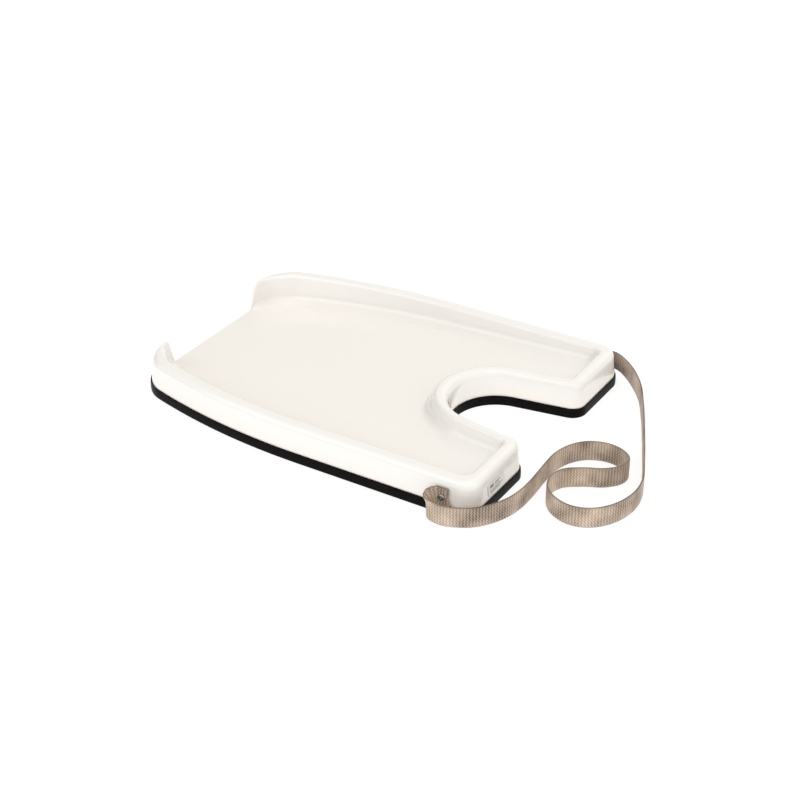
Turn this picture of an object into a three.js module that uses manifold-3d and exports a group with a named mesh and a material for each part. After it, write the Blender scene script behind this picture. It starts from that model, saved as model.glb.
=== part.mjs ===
// A hair rinsing tray: a shallow formed tray with a neck cut-out at one end and an open
// spout at the other, rubber trim on its bottom edge, and a webbing strap riveted to its sides.
// Millimetres, +Z up. The neck end is +X, the spout end is -X, and the tray stands on z = 0.

import * as THREE from 'three';
import Module from 'manifold-3d';
import { mergeVertices } from 'three/addons/utils/BufferGeometryUtils.js';

// ---- Driving sizes ----

// Overall, over the rubber trim
const trayLength = 478;
const trayWidth = 360;
const rimHeight = 43.5;

// Plan shape
const sideBendX = 12;            // the long sides are straight from here to the neck end
const sideBendRadius = 800;      // and bow inwards on this radius from here to the spout
const spoutCornerRadius = 50;
const neckCornerRadius = 25;
const prongCornerRadius = 19;
const cutoutDepth = 124.5;
const cutoutRadius = 53;
const cutoutFlare = THREE.MathUtils.degToRad(9.4);

// Sheet and rim section
const sheet = 3;                 // thickness of the formed plastic
const bandHeight = 12.5;         // upright band at the bottom of the wall, inside the trim
const wallDraft = 1.8;           // how far the outer wall leans in above that band
const shoulderHeight = 33.5;     // where the outer wall rounds over into the rim
const shoulderWidth = 8.2;
const rimTopWidth = 4;           // level top of the rim
const rimInnerRadius = 5.5;
const innerDraft = 1.5;
const basinFillet = 12;
const filletShare = 0.8;         // most of the inner wall's height that the fillet may take
// Least plan radii of the rim at the neck corners, the prongs and the spout corners. Past the
// rim's inner face, where the fillet turns into the floor, they shrink at this rate.
const rimCornerRadius = 14;
const prongRimRadius = 10;
const spoutRimRadius = 20;
const filletShrink = 0.4;
const sideWidthFactor = 0.78;    // the rim is slimmer along the sides of the cut-out
const rootWidthFactor = 1.05;    // and full width again round its root

// Floor of the basin
const spoutFloorHeight = 6;
const floorFall = 20;            // from the neck end of the basin to the spout lip

// Spout opening between the two horns
const hornFoot = 26.5;           // from the end of the lip to the start of the spout corner
const hornRise = 19;             // length over which the rim climbs from the lip to the horn's top
const climbFoot = 2;             // powers that shape the climb: how softly it starts
const climbCrown = 3.8;          // and how softly it ends
const hornDip = 0.066;           // the top of the horn is this share lower than the rest of the rim
const dipStart = 16;             // and rises to full height between these distances from the lip
const dipEnd = 85;
const hollowStart = 17;          // the horn is solid for this far before its hollow begins
const hollowRise = 22;
const leastHollow = 0.03;        // share of the hollow's width where the horn is solid
const hornTipFactor = 0.12;      // rim width at the very end of the horn, as a share
const hornTaperLength = 65;

// Rubber trim: a U-channel pushed on the bottom edge
const trimWall = 1.7;
const trimHeight = 12;
const trimInnerHeight = 10;
const fitGap = 0.3;

// Strap
const webbingWidth = 25;
const webbingThickness = 2;
const webbingEdge = 0.5;         // rounding of its two edges
const strapStep = 12;            // length of one straight facet of the strap
const endSlant = 4;              // the cut ends lean this far each way

// Rivets, pins and washers
const rivetInset = 39.7;         // from the neck end
const rivetZ = 20.5;
const rivetHead = 9;
const rivetHeadHeight = 1.6;
const rivetShank = 4.8;
const rivetBore = 2.9;
const rivetSetDiameter = 7;
const rivetSetLength = 4.5;
const washerDiameter = 12;
const washerThickness = 1.2;
const washerGap = 0.7;           // between the wall and the washer, which meets it at its lower edge
const pinHeadDiameter = 4.6;
const pinHeadHeight = 2.4;
const turnFacets = 20;

// Label
const labelWidth = 35;
const labelHeight = 13.5;
const labelThickness = 0.4;
const labelInset = 50.5;         // from the right side to the middle of the label
const labelZ = 22.5;

// ---- Sizes that follow from these ----

const neckX = trayLength / 2;
const spoutX = -trayLength / 2;
const sideY = trayWidth / 2;
const bowY = sideY - sideBendRadius;         // centre of the bow, at x = sideBendX
const wallFace = trimWall + fitGap;          // the shell's outer face, in from the trim's face
const crestStart = wallFace + wallDraft + shoulderWidth;
const crestEnd = crestStart + rimTopWidth;
const innerTop = crestEnd + rimInnerRadius;
const innerBase = innerTop + innerDraft;
const shoulderRise = rimHeight - shoulderHeight;
const innerTopHeight = rimHeight - rimInnerRadius;
const shellBottom = trimWall + fitGap;
const rivetX = neckX - rivetInset;
const cutoutCentreX = neckX - cutoutDepth + cutoutRadius;
const floorEndX = neckX - innerBase;
const hornBase = innerBase - sheet - (wallFace + sheet);

// ---- Small tools ----

const wasm = await Module();
wasm.setup();

const mix = (a, b, t) => a + (b - a) * t;
const clamp = (value, low, high) => Math.min(high, Math.max(low, value));
const ease = (t) => t * t * (3 - 2 * t);

function material(color, roughness, metalness = 0) {
  return new THREE.MeshStandardMaterial({ color, roughness, metalness });
}

// A closed body from rings of points. Every ring has the same number of points.
// The first and last rings get a cap each.
function loft(rings) {
  const count = rings[0].length;
  const triangles = [];
  for (let i = 0; i < rings.length - 1; i += 1) {
    const a = i * count;
    const b = (i + 1) * count;
    for (let j = 0; j < count; j += 1) {
      const k = (j + 1) % count;
      triangles.push(a + j, a + k, b + k, a + j, b + k, b + j);
    }
  }
  const last = (rings.length - 1) * count;
  for (const [p, q, r] of capTriangles(rings[0])) triangles.push(r, q, p);
  for (const [p, q, r] of capTriangles(rings.at(-1))) triangles.push(last + p, last + q, last + r);
  return solid(rings.flat(), triangles);
}

// Triangles over the face that a ring of points bounds
function capTriangles(ring) {
  const origin = ring[0];
  const normal = new THREE.Vector3();
  for (let i = 1; i < ring.length - 1; i += 1) {
    const one = ring[i].clone().sub(origin);
    normal.add(one.cross(ring[i + 1].clone().sub(origin)));
  }
  normal.normalize();
  const across = ring[1].clone().sub(origin).normalize();
  const up = normal.clone().cross(across);
  const flat = ring.map((point) => {
    const arm = point.clone().sub(origin);
    return new THREE.Vector2(arm.dot(across), arm.dot(up));
  });
  return THREE.ShapeUtils.triangulateShape(flat, []);
}

// A geometry from points and triangles, turned so that its faces point outwards
function solid(points, triangles) {
  let volume = 0;
  for (let i = 0; i < triangles.length; i += 3) {
    const [a, b, c] = [0, 1, 2].map((k) => points[triangles[i + k]]);
    volume += a.dot(b.clone().cross(c));
  }
  const faces = volume > 0 ? triangles : triangles.slice().reverse();
  const geometry = new THREE.BufferGeometry();
  const numbers = points.flatMap((point) => [point.x, point.y, point.z]);
  geometry.setAttribute('position', new THREE.Float32BufferAttribute(numbers, 3));
  geometry.setIndex(faces);
  geometry.computeVertexNormals();
  return geometry;
}

function toManifold(geometry) {
  const bare = geometry.clone();
  bare.deleteAttribute('normal');
  bare.deleteAttribute('uv');
  const merged = mergeVertices(bare, 1e-4);
  return new wasm.Manifold(new wasm.Mesh({
    numProp: 3,
    vertProperties: new Float32Array(merged.attributes.position.array),
    triVerts: new Uint32Array(merged.index.array),
  }));
}

function cut(geometry, tools) {
  let body = toManifold(geometry);
  for (const tool of tools) body = body.subtract(toManifold(tool));
  const mesh = body.getMesh();
  const result = new THREE.BufferGeometry();
  result.setAttribute('position', new THREE.BufferAttribute(mesh.vertProperties, 3));
  result.setIndex(new THREE.BufferAttribute(mesh.triVerts, 1));
  result.computeVertexNormals();
  return result;
}

// ---- Plan outline ----

const lipHalfWidth = spoutCorner(0).y - hornFoot;

// One half of the outline, from the middle of the spout to the root of the cut-out. Each
// station is a stretch of the outline and a place t along it, and pointAt gives that place
// on the outline drawn a distance "inset" into the material.
function halfStations() {
  const stations = [];
  const add = (stretch, count, from = 0) => {
    for (let i = from; i <= count; i += 1) stations.push({ stretch, t: i / count });
  };
  stations.push({ stretch: 'lip', y: 0 });
  for (const share of [0, 0.1, 0.19, 0.28, 0.37, 0.47, 0.6, 0.8]) {
    stations.push({ stretch: 'lip', y: lipHalfWidth + share * hornFoot });
  }
  add('spoutCorner', 6);
  add('sideArc', 8, 1);
  add('neckCorner', 5);
  add('prongCorner', 5);
  add('root', 8);
  return stations;
}

// Plan radius of a corner at an inset: the corner is concentric until the rim's own radius
function cornerRadius(radius, least, inset) {
  const pastWall = Math.max(0, inset - innerBase);
  return Math.max(radius - inset, least - filletShrink * pastWall);
}

function onArc(x, y, radius, angle) {
  return new THREE.Vector2(x + radius * Math.cos(angle), y + radius * Math.sin(angle));
}

// The spout corner's arc touches the straight end and the bow of the long side
function spoutCorner(inset) {
  const radius = cornerRadius(spoutCornerRadius, spoutRimRadius, inset);
  const x = spoutX + inset + radius;
  const reach = sideBendRadius - inset - radius;
  const y = bowY + Math.sqrt(reach ** 2 - (x - sideBendX) ** 2);
  return { x, y, radius, bowAngle: Math.atan2(y - bowY, x - sideBendX) };
}

function pointAt(station, inset) {
  const { stretch, t } = station;
  const { x: spoutCX, y: spoutCY, radius: spoutR, bowAngle } = spoutCorner(inset);
  if (stretch === 'lip') return new THREE.Vector2(spoutX + inset, station.y);
  if (stretch === 'spoutCorner') return onArc(spoutCX, spoutCY, spoutR, mix(Math.PI, bowAngle, t));
  if (stretch === 'sideArc') {
    return onArc(sideBendX, bowY, sideBendRadius - inset, mix(bowAngle, Math.PI / 2, t));
  }
  if (stretch === 'neckCorner') {
    const r = cornerRadius(neckCornerRadius, rimCornerRadius, inset);
    return onArc(neckX - inset - r, sideY - inset - r, r, mix(Math.PI / 2, 0, t));
  }
  if (stretch === 'prongCorner') {
    const r = cornerRadius(prongCornerRadius, prongRimRadius, inset);
    const x = neckX - inset - r;
    const arm = cutoutRadius + inset + r + (x - cutoutCentreX) * Math.sin(cutoutFlare);
    return onArc(x, arm / Math.cos(cutoutFlare), r, mix(0, cutoutFlare - Math.PI / 2, t));
  }
  return onArc(cutoutCentreX, 0, cutoutRadius + inset, mix(Math.PI / 2 + cutoutFlare, Math.PI, t));
}

// ---- Section of the shell ----

// Height of the floor under a place along the tray
function floorHeight(x) {
  return spoutFloorHeight + floorFall * clamp((x - spoutX) / (floorEndX - spoutX), 0, 1);
}

// How far the rim has climbed from the lip, 0 to 1, a distance past the end of the horn
function climb(distance, length) {
  const t = clamp(distance / length, 0, 1);
  return 1 - (1 - t ** climbFoot) ** climbCrown;
}

// Distance past the end of the lip, measured across the tray
function pastLip(station) {
  if (station.stretch === 'lip') return station.y - lipHalfWidth;
  const nearSpout = ['spoutCorner', 'sideArc'].includes(station.stretch);
  return nearSpout ? pointAt(station, wallFace).y - lipHalfWidth : Infinity;
}

// Width of the rim at a station, as a share of its full width
function rimWidth(station) {
  const { stretch, t } = station;
  if (stretch === 'prongCorner') return mix(1, sideWidthFactor, t);
  if (stretch === 'root') return mix(sideWidthFactor, rootWidthFactor, ease(t));
  return mix(hornTipFactor, 1, ease(clamp(pastLip(station) / hornTaperLength, 0, 1)));
}

// The section's points from the bottom edge over the rim to the floor: inset from the trim's
// face, and height. Heights marked "floor" are measured from the floor of the basin.
function topSection(fillet) {
  const rows = [
    { inset: wallFace, z: shellBottom },
    { inset: wallFace, z: bandHeight },
    { inset: wallFace + wallDraft, z: shoulderHeight },
  ];
  for (const angle of [Math.PI / 4, Math.PI / 2]) {
    rows.push({
      inset: crestStart - shoulderWidth * Math.cos(angle),
      z: shoulderHeight + shoulderRise * Math.sin(angle),
    });
  }
  for (const angle of [0, Math.PI / 4, Math.PI / 2]) {
    rows.push({
      inset: crestEnd + rimInnerRadius * Math.sin(angle),
      z: innerTopHeight + rimInnerRadius * Math.cos(angle),
      inner: true,
    });
  }
  for (const angle of [0, Math.PI / 4, Math.PI / 2]) {
    rows.push({
      inset: innerBase + fillet * (1 - Math.cos(angle)),
      floor: fillet * (1 - Math.sin(angle)),
    });
  }
  return rows;
}

// The same for the underside, from the floor back to the bottom edge
function underSection(fillet) {
  const rows = [];
  for (const angle of [Math.PI / 2, Math.PI / 4, 0]) {
    rows.push({
      inset: innerBase + fillet - (fillet + sheet) * Math.cos(angle),
      floor: fillet + sheet - (fillet + sheet) * Math.sin(angle),
    });
  }
  for (const angle of [Math.PI / 2, 0]) {
    rows.push({
      inset: crestEnd + (rimInnerRadius - sheet) * Math.sin(angle),
      z: innerTopHeight + (rimInnerRadius - sheet) * Math.cos(angle),
      inner: true,
    });
  }
  for (const angle of [Math.PI / 2, Math.PI / 4]) {
    rows.push({
      inset: crestStart - (shoulderWidth - sheet) * Math.cos(angle),
      z: shoulderHeight + (shoulderRise - sheet) * Math.sin(angle),
    });
  }
  rows.push({ inset: wallFace + wallDraft + sheet, z: shoulderHeight });
  rows.push({ inset: wallFace + sheet, z: bandHeight });
  rows.push({ inset: wallFace + sheet, z: shellBottom });
  return rows;
}

// All points of the section at one station, in order round the sheet
function sectionAt(station) {
  const width = rimWidth(station);
  const baseX = pointAt(station, innerBase * width).x;
  const fillet = Math.min(basinFillet, filletShare * (innerTopHeight - floorHeight(baseX)));
  const distance = pastLip(station);
  const dip = hornDip * (1 - ease(clamp((distance - dipStart) / (dipEnd - dipStart), 0, 1)));
  const rise = climb(distance, hornRise) * (1 - dip);
  const hollow = climb(distance - hollowStart, hollowRise);
  const hollowWidth = Math.max(leastHollow, ((innerBase - wallFace) * width - 2 * sheet) / hornBase);

  const place = (row, edge, share, level, thickness) => {
    const past = row.inset - edge;
    const whole = row.floor === undefined ? past : Math.min(past, innerBase - edge);
    const inset = edge + whole * share + (past - whole);
    const point = pointAt(station, inset);
    const floor = floorHeight(point.x) - thickness;
    const crest = mix(floor, rimHeight - thickness, level);
    let z = row.z;
    if (row.floor !== undefined) z = floor + row.floor * level;
    else if (row.inner) z = mix(floor, row.z, level);
    else if (level < 1) {
      z = mix(shellBottom, row.z, (crest - shellBottom) / (rimHeight - thickness - shellBottom));
    }
    return new THREE.Vector3(point.x, point.y, z);
  };
  const top = topSection(fillet).map((row) => place(row, wallFace, width, rise, 0));
  const under = underSection(fillet).map((row) => place(row, wallFace + sheet, hollowWidth, hollow, sheet));
  return [...top, ...under];
}

const mirrored = (points) => points.map((point) => new THREE.Vector3(point.x, -point.y, point.z));

// The stations of one half, then the other half coming back
function bothHalves(half) {
  return [...half, ...half.slice(1, -1).reverse().map(mirrored)];
}

function shellGeometry() {
  const sections = bothHalves(halfStations().map(sectionAt));
  const count = sections[0].length;
  const topEdge = topSection(basinFillet).length - 1;
  const points = sections.flat();
  const triangles = [];
  for (let i = 0; i < sections.length; i += 1) {
    const a = i * count;
    const b = ((i + 1) % sections.length) * count;
    for (let j = 0; j < count; j += 1) {
      if (j === topEdge) continue;
      const k = (j + 1) % count;
      triangles.push(a + j, a + k, b + k, a + j, b + k, b + j);
    }
  }
  const floorTop = sections.map((section) => section[topEdge]);
  const floorUnder = sections.map((section) => section[topEdge + 1]);
  const flat = (ring) => ring.map((point) => new THREE.Vector2(point.x, point.y));
  for (const [p, q, r] of THREE.ShapeUtils.triangulateShape(flat(floorTop), [])) {
    triangles.push(p * count + topEdge, q * count + topEdge, r * count + topEdge);
  }
  for (const [p, q, r] of THREE.ShapeUtils.triangulateShape(flat(floorUnder), [])) {
    triangles.push(p * count + topEdge + 1, r * count + topEdge + 1, q * count + topEdge + 1);
  }
  return solid(points, triangles);
}

// ---- Rubber trim ----

function trimGeometry() {
  const innerFace = wallFace + sheet + fitGap;
  const section = [
    [0, 0], [0, trimHeight], [trimWall, trimHeight], [trimWall, trimWall],
    [innerFace, trimWall], [innerFace, trimInnerHeight],
    [innerFace + trimWall, trimInnerHeight], [innerFace + trimWall, 0],
  ];
  const half = halfStations().filter((station) => station.stretch !== 'lip');
  const rings = half.map((station) => section.map(([inset, z]) => {
    const point = pointAt(station, inset);
    return new THREE.Vector3(point.x, point.y, z);
  }));
  return loft([...rings, ...rings.slice(0, -1).reverse().map(mirrored)]);
}

// ---- Rivets ----

// The strap lies against the wall at its upper edge and over the trim at its lower edge
const wallAt = (z) => wallFace + wallDraft * (z - bandHeight) / (shoulderHeight - bandHeight);
const tabTop = rivetZ + webbingWidth / 2;
const tabLean = Math.atan((wallAt(tabTop) - 2 * fitGap) / (tabTop - trimHeight));
const strapInner = sideY + fitGap - (rivetZ - trimHeight) * Math.tan(tabLean);
const tabY = strapInner + (webbingThickness / 2) / Math.cos(tabLean);

// Places a rivet part, made along +Z with z = 0 in the middle of the strap, on one side
function onSide(geometry, side) {
  geometry.rotateX(-side * (Math.PI / 2 - tabLean));
  geometry.translate(rivetX, side * tabY, rivetZ);
  return geometry;
}

// A body turned round the Z axis from (radius, height) pairs
function turned(profile) {
  const points = profile.map(([radius, height]) => new THREE.Vector2(radius, height));
  return new THREE.LatheGeometry(points, turnFacets).rotateX(Math.PI / 2);
}

const strapFace = webbingThickness / 2 + fitGap;
const wallInside = (tabY + wallAt(rivetZ) + sheet - sideY) * Math.cos(tabLean);
const washerTop = -(wallInside + washerGap);
const washerBack = washerTop - washerThickness;
const setEnd = washerBack - fitGap - rivetSetLength;

function rivetGeometry(side) {
  const head = rivetHead / 2;
  const shank = rivetShank / 2;
  const bore = rivetBore / 2;
  const bulb = rivetSetDiameter / 2;
  const bulbTop = washerBack - fitGap;
  return onSide(turned([
    [bore, setEnd], [bulb - 1, setEnd], [bulb, setEnd + 1], [bulb, bulbTop - 1], [bulb - 0.6, bulbTop],
    [shank, bulbTop], [shank, strapFace], [head, strapFace], [head - 0.4, strapFace + 0.6],
    [head - 1.6, strapFace + rivetHeadHeight - 0.2], [bore + 0.6, strapFace + rivetHeadHeight],
    [bore, strapFace + rivetHeadHeight - 0.4], [bore, setEnd],
  ]), side);
}

// What is left of the pin: a stem in the bore and the head that set the far end
function pinGeometry(side) {
  const stem = rivetBore / 2 - fitGap;
  const head = pinHeadDiameter / 2;
  const headTop = setEnd - fitGap;
  return onSide(turned([
    [0, headTop - pinHeadHeight], [head - 0.9, headTop - pinHeadHeight + 0.2],
    [head, headTop - pinHeadHeight / 2], [head, headTop], [stem, headTop],
    [stem, strapFace + rivetHeadHeight - 1], [0, strapFace + rivetHeadHeight - 1],
  ]), side);
}

function washerGeometry(side) {
  const outer = washerDiameter / 2;
  const inner = rivetShank / 2 + fitGap;
  return onSide(turned([
    [inner, washerBack], [outer, washerBack], [outer, washerTop], [inner, washerTop], [inner, washerBack],
  ]), side);
}

// The hole that the shank passes through
function rivetHole(side) {
  const radius = rivetShank / 2 + fitGap;
  return onSide(turned([[0, -14], [radius, -14], [radius, 8], [0, 8]]), side);
}

// ---- Strap ----

// Middle of the strap from the cut end on the right side to the cut end on the left side.
// It folds back at the right rivet, stands on its edge on the table, and rises to the left rivet.
const tabX = rivetX - 5.5;
const standing = webbingWidth / 2 + fitGap;
const strapRoute = [
  [rivetX + 7.5, -tabY, rivetZ], [tabX + 1, -tabY, rivetZ], [tabX, -tabY, rivetZ],
  [188.2, -184.2, 18.8], [187.4, -190.4, 15],
  [191.5, -195.2, standing], [200, -198, standing], [211, -198.6, standing], [222, -195, standing],
  [238.5, -185.5, standing], [251, -171, standing], [261.5, -149, standing], [265.4, -128, standing],
  [265.8, -104, standing], [263.6, -70, standing], [263.4, -45, standing], [270, -22, standing],
  [283, -6, standing], [303, 1.8, standing], [323, -1.5, standing], [336.5, -13, standing],
  [336.6, -29, standing], [324, -44.5, standing], [301, -57, standing], [285, -70, standing],
  [280, -86, standing], [284, -104, standing], [298, -119.5, standing], [321, -127.5, standing],
  [342, -122, standing], [359, -104, standing], [368.5, -76, standing], [367, -46, standing],
  [351, -6, standing], [328, 44, standing], [301, 100, standing + 0.3], [277, 142, 14.4],
  [252, 166.5, 19.2], [231, 178.8, 21.4], [214, tabY + 0.3, 21], [rivetX + 7, tabY, rivetZ],
  [rivetX, tabY, rivetZ], [rivetX - 9, tabY, rivetZ],
];

// How far the upper edge leans out at each place, as an angle from upright. The lean of each
// riveted end dies away over a stretch of the strap, given as distances from that end.
const nearLean = { from: 17, to: 41 };
const farLean = { from: 24, to: 84 };

function strapLean(share, length) {
  const along = share * length;
  const left = (distance, { from, to }) => 1 - ease(clamp((distance - from) / (to - from), 0, 1));
  return tabLean * (left(along, nearLean) - left(length - along, farLean));
}

function strapCurve() {
  const points = strapRoute.map(([x, y, z]) => new THREE.Vector3(x, y, z));
  return new THREE.CatmullRomCurve3(points, false, 'centripetal');
}

function strapGeometry() {
  const curve = strapCurve();
  curve.arcLengthDivisions = 2000;
  const length = curve.getLength();
  const steps = Math.round(length / strapStep);
  const half = webbingWidth / 2;
  const thick = webbingThickness / 2;
  const edge = webbingEdge;
  const outline = [
    [-half + edge, -thick], [half - edge, -thick], [half, -thick + edge], [half, thick - edge],
    [half - edge, thick], [-half + edge, thick], [-half, thick - edge], [-half, -thick + edge],
  ];
  const rings = [];
  for (const share of strapShares(length, steps)) {
    const middle = curve.getPointAt(share);
    const along = curve.getTangentAt(share);
    const level = new THREE.Vector3(along.x, along.y, 0).normalize();
    const out = new THREE.Vector3(level.y, -level.x, 0);
    const lean = strapLean(share, length);
    const up = new THREE.Vector3(0, 0, Math.cos(lean)).addScaledVector(out, Math.sin(lean));
    up.addScaledVector(along, -up.dot(along)).normalize();
    const normal = new THREE.Vector3().crossVectors(along, up).normalize();
    const atEnd = share === 0 || share === 1;
    rings.push(outline.map(([u, v]) => {
      const point = middle.clone().addScaledVector(up, u).addScaledVector(normal, v);
      if (atEnd) point.addScaledVector(along, (share === 0 ? 1 : -1) * endSlant * u / half);
      return point;
    }));
  }
  return cut(loft(rings), [rivetHole(-1), rivetHole(1)]);
}

// Places along the strap: closer together in the fold beside the right rivet
const foldStart = 12.4;
const foldEnd = 42;
const foldStep = 3.2;

function strapShares(length, steps) {
  const shares = [0];
  for (let at = foldStart; at < foldEnd; at += foldStep) shares.push(at / length);
  const from = foldEnd / length;
  const rest = Math.round(steps * (1 - from));
  for (let i = 0; i <= rest; i += 1) shares.push(mix(from, 1, i / rest));
  return shares;
}

// ---- Label ----

function labelGeometry() {
  const face = neckX - wallAt(labelZ);
  const lean = Math.atan(wallDraft / (shoulderHeight - bandHeight));
  const geometry = new THREE.BoxGeometry(labelThickness, labelWidth, labelHeight);
  geometry.rotateY(-lean);
  geometry.translate(face + fitGap + labelThickness / 2, labelInset - sideY, labelZ);
  return geometry;
}

// ---- Assembly ----

const ivory = material(0xf6f3ec, 0.22);
const rubber = material(0x17141a, 0.55);
const webbing = material(0xb9a58c, 0.85);
const steel = material(0xb9bcc0, 0.3, 1);
const sticker = material(0xf1efe9, 0.45);

const tray = new THREE.Group();

function addPart(name, geometry, look) {
  const mesh = new THREE.Mesh(geometry, look);
  mesh.name = name;
  tray.add(mesh);
}

addPart('tray_shell', cut(shellGeometry(), [rivetHole(-1), rivetHole(1)]), ivory);
addPart('edge_trim', trimGeometry(), rubber);
addPart('tie_strap', strapGeometry(), webbing);
for (const [name, side] of [['right', -1], ['left', 1]]) {
  addPart(`${name}_rivet`, rivetGeometry(side), steel);
  addPart(`${name}_rivet_pin`, pinGeometry(side), steel);
  addPart(`${name}_backing_washer`, washerGeometry(side), steel);
}
addPart('info_label', labelGeometry(), sticker);

export default tray;
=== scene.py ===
# %% [markdown]
# # A hair rinsing tray
#
# The tray is one sheet of glossy ivory plastic, formed into a shallow basin. A person's neck goes
# in the U-shaped cut-out, and the water runs out over the open lip at the other end. A black rubber
# channel covers the bottom edge, and a woven strap is riveted to the two long sides.
#
# The CAD model is already here as a fixed frame. Everything below is built around it, in metres.

import math

import bmesh
import bpy
import numpy as np
from mathutils import Matrix, Vector


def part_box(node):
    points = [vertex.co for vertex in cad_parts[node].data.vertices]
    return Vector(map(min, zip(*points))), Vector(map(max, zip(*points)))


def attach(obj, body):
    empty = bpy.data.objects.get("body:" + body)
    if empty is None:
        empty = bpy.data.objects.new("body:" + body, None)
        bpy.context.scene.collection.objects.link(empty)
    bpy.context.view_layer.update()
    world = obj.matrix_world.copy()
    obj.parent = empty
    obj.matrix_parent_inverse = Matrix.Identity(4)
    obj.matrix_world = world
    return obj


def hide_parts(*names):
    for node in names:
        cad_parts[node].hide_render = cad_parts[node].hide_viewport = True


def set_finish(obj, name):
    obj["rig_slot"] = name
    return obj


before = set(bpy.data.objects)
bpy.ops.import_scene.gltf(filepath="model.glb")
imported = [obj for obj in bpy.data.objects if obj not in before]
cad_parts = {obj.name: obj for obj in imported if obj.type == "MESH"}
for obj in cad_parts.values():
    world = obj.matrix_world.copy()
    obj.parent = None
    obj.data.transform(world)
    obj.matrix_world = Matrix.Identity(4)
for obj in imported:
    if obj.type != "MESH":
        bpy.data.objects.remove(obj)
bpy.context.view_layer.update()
_, shell_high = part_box("tray_shell")
trim_low, trim_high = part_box("edge_trim")
MM = 0.001

# %% [markdown]
# ## Camera
#
# A product picture is taken from a little way off with a long lens, so that parallel edges stay
# nearly parallel. The camera looks down at about 31 degrees, from the side where the strap lies.

# %% Camera
CAMERA_TARGET = Vector((0.0566, -0.0320, 0.0200))
CAMERA_AZIMUTH = math.radians(31.68)
CAMERA_HEIGHT_ANGLE = math.radians(30.81)
CAMERA_DISTANCE = 1.959
CAMERA_LENS = 76.7


def add_camera():
    back = Vector((
        math.sin(CAMERA_AZIMUTH) * math.cos(CAMERA_HEIGHT_ANGLE),
        -math.cos(CAMERA_AZIMUTH) * math.cos(CAMERA_HEIGHT_ANGLE),
        math.sin(CAMERA_HEIGHT_ANGLE),
    ))
    data = bpy.data.cameras.new("camera")
    data.lens = CAMERA_LENS
    data.sensor_width = 36
    data.clip_end = 50
    camera = bpy.data.objects.new("camera", data)
    camera.location = CAMERA_TARGET + back * CAMERA_DISTANCE
    camera.rotation_euler = back.to_track_quat("Z", "Y").to_euler()
    bpy.context.scene.collection.objects.link(camera)
    bpy.context.scene.camera = camera
    print("camera at", [round(v, 3) for v in camera.location])


add_camera()

# %% [markdown]
# ## Studio
#
# The floor is flat and white and gives off light of its own, as a lit table does, so that hardly
# any shadow is left on it. Round it is a dim, even room with four broad soft patches of light:
# overhead, behind, on the right and over the camera. One big soft box stands low on the left. It
# makes the long walls a little brighter than the basin floor, and puts a soft line of light along
# each shoulder.

# %% Floor and light
FLOOR_SIZE = 8.0
FLOOR_GLOW, FLOOR_WHITE = 0.80, 0.30
PATCH_POWER = 4      # a higher power makes each bright patch smaller
ROOM_GLOW = 0.3      # the even light between the patches


def add_floor():
    mesh = bpy.data.meshes.new("studio_floor")
    half = FLOOR_SIZE / 2
    corners = [(-half, -half, 0), (half, -half, 0), (half, half, 0), (-half, half, 0)]
    mesh.from_pydata(corners, [], [(0, 1, 2, 3)])
    floor = bpy.data.objects.new("studio_floor", mesh)
    floor.location.z = -0.0002
    bpy.context.scene.collection.objects.link(floor)
    material = bpy.data.materials.new("studio_floor")
    material.use_nodes = True
    shader = material.node_tree.nodes["Principled BSDF"]
    shader.inputs["Base Color"].default_value = (FLOOR_WHITE, FLOOR_WHITE, FLOOR_WHITE, 1)
    shader.inputs["Roughness"].default_value = 1.0
    shader.inputs["Specular IOR Level"].default_value = 0.0
    shader.inputs["Emission Color"].default_value = (1, 1, 1, 1)
    shader.inputs["Emission Strength"].default_value = FLOOR_GLOW
    mesh.materials.append(material)


def add_lamp(name, place, size, power, colour):
    data = bpy.data.lights.new(name, "AREA")
    data.shape = "RECTANGLE"
    data.size, data.size_y = size
    data.energy = power
    data.color = colour
    lamp = bpy.data.objects.new(name, data)
    lamp.location = place
    lamp.rotation_euler = Vector(place).to_track_quat("Z", "Y").to_euler()
    bpy.context.scene.collection.objects.link(lamp)


def add_surround(patches):
    """A dim room with soft bright patches on its walls. Each is (direction, strength, colour)."""
    world = bpy.data.worlds.new("surround")
    world.use_nodes = True
    tree = world.node_tree
    output = tree.nodes["World Output"]
    tree.nodes.remove(tree.nodes["Background"])
    place = tree.nodes.new("ShaderNodeTexCoord").outputs["Generated"]
    room = tree.nodes.new("ShaderNodeBackground")
    room.inputs["Color"].default_value = (1, 1, 1, 1)
    room.inputs["Strength"].default_value = ROOM_GLOW
    total = room.outputs[0]
    for direction, strength, colour in patches:
        facing = tree.nodes.new("ShaderNodeVectorMath")
        facing.operation = "DOT_PRODUCT"
        facing.inputs[1].default_value = Vector(direction).normalized()
        tree.links.new(place, facing.inputs[0])
        value = facing.outputs["Value"]
        for operation, number in (("MAXIMUM", 0), ("POWER", PATCH_POWER), ("MULTIPLY", strength)):
            node = tree.nodes.new("ShaderNodeMath")
            node.operation = operation
            node.inputs[1].default_value = number
            tree.links.new(value, node.inputs[0])
            value = node.outputs[0]
        light = tree.nodes.new("ShaderNodeBackground")
        light.inputs["Color"].default_value = (*colour, 1)
        tree.links.new(value, light.inputs["Strength"])
        both = tree.nodes.new("ShaderNodeAddShader")
        tree.links.new(total, both.inputs[0])
        tree.links.new(light.outputs[0], both.inputs[1])
        total = both.outputs[0]
    tree.links.new(total, output.inputs["Surface"])
    bpy.context.scene.world = world


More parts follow.
